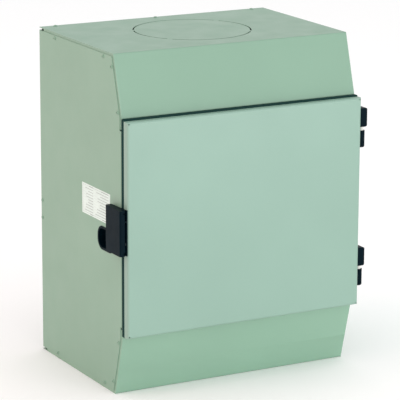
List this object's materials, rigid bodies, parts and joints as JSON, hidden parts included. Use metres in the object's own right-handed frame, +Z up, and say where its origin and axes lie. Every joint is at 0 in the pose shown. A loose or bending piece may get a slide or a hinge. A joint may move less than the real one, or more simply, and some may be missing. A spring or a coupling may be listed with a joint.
{
  "type": "ducted air filter cabinet",
  "caption": "Folded sheet steel air cleaner cabinet with sloped front edges, a gasketed side-hinged door, a paddle latch and round duct ports; it holds a fan and a filter cartridge.",
  "frame": {"origin": "on the surface that the cabinet stands on, under the centre of its overall box", "axes": "+Z up along the height; -Y out of the door, the front; +X towards the hinged side of the door"},
  "size_m": [0.4794, 0.381, 0.5868],
  "materials": {
    "mint_coat": "satin fine-texture powder coat",
    "galvanised": "galvanised sheet",
    "zinc_plated": "bright zinc plating",
    "black_plastic": "moulded, fine spark texture",
    "white_plastic": "moulded nylon",
    "label_film": "satin label film with ruled lines",
    "gasket_foam": "closed-cell sponge",
    "rubber": "moulded rubber",
    "lining_foam": "open-cell acoustic foam",
    "insulation": "fibre board",
    "filter_media": "pleated fibre paper",
    "carbon_foam": "open-cell carbon foam",
    "aluminium": "cast, satin",
    "wire_sheath": "soft PVC"
  },
  "bodies": {
    "root": {"shell_wrap": "mint_coat", "top_panel": "mint_coat", "bottom_panel": "mint_coat", "shell_screws": "mint_coat", "fixing_screws": "zinc_plated", "inlet_collar": "galvanised", "rating_label": "label_film", "finger_cup": "black_plastic", "keeper": "zinc_plated", "hinge_body_leaves": "black_plastic", "hinge_pins": "zinc_plated", "hinge_bushes": "white_plastic", "baffle": "galvanised", "inlet_ring": "galvanised", "inlet_ring_rivets": "zinc_plated", "fan_isolators": "rubber", "fan_bracket": "galvanised", "motor_stator": "aluminium", "motor_bearings": "zinc_plated", "motor_screws": "zinc_plated", "rod_support": "galvanised", "clamp_rod": "zinc_plated", "rod_fixings": "zinc_plated", "clamp_washer": "rubber", "cartridge_top_cap": "black_plastic", "cartridge_bottom_cap": "black_plastic", "pleated_media": "filter_media", "core_tube": "galvanised", "carbon_wrap": "carbon_foam", "cartridge_seal": "rubber", "liner_back": "lining_foam", "liner_left": "lining_foam", "liner_right": "lining_foam", "liner_bottom": "lining_foam", "liner_top": "lining_foam", "wiring_box": "galvanised", "wiring_cover": "galvanised", "terminal_block": "white_plastic", "capacitor": "aluminium", "cord_gland": "black_plastic", "gland_nut": "black_plastic", "baffle_grommet": "rubber", "inner_leads": "wire_sheath", "switch_bracket": "galvanised", "door_switch": "black_plastic"},
    "door": {"door_pan": "mint_coat", "door_inner_panel": "galvanised", "door_insulation": "insulation", "door_gasket": "gasket_foam", "door_rivets": "zinc_plated", "hinge_door_leaves": "black_plastic", "hinge_door_screws": "zinc_plated", "latch_base": "black_plastic", "latch_pin": "zinc_plated", "latch_screws": "zinc_plated", "latch_spring": "zinc_plated"},
    "latch": {"latch_paddle": "black_plastic"},
    "fan": {"fan_rotor": "galvanised"},
    "knob": {"clamp_knob": "black_plastic"},
    "plunger": {"switch_plunger": "white_plastic"}
  },
  "joints": [
    {"name": "door_hinge", "type": "hinge", "parent": "root", "child": "door", "pos_m": [0.23325, -0.1755, 0.3], "axis": [0, 0, 1], "range_deg": [0, 160]},
    {"name": "latch_pull", "type": "hinge", "parent": "door", "child": "latch", "pos_m": [-0.23375, -0.1845, 0.294], "axis": [0, 0, 1], "range_deg": [0, 40], "stiffness_Nm_per_rad": 0.25, "springref_deg": -11.46},
    {"name": "fan_spin", "type": "hinge", "parent": "root", "child": "fan", "pos_m": [-0.00075, -0.0135, 0.48], "axis": [0, 0, 1], "continuous": true},
    {"name": "knob_spin", "type": "hinge", "parent": "root", "child": "knob", "pos_m": [-0.00075, -0.0135, 0.14], "axis": [0, 0, 1], "continuous": true},
    {"name": "plunger_press", "type": "slide", "parent": "root", "child": "plunger", "axis": [0, 1, 0], "range_m": [0, 0.002], "stiffness_N_per_m": 200}
  ]
}
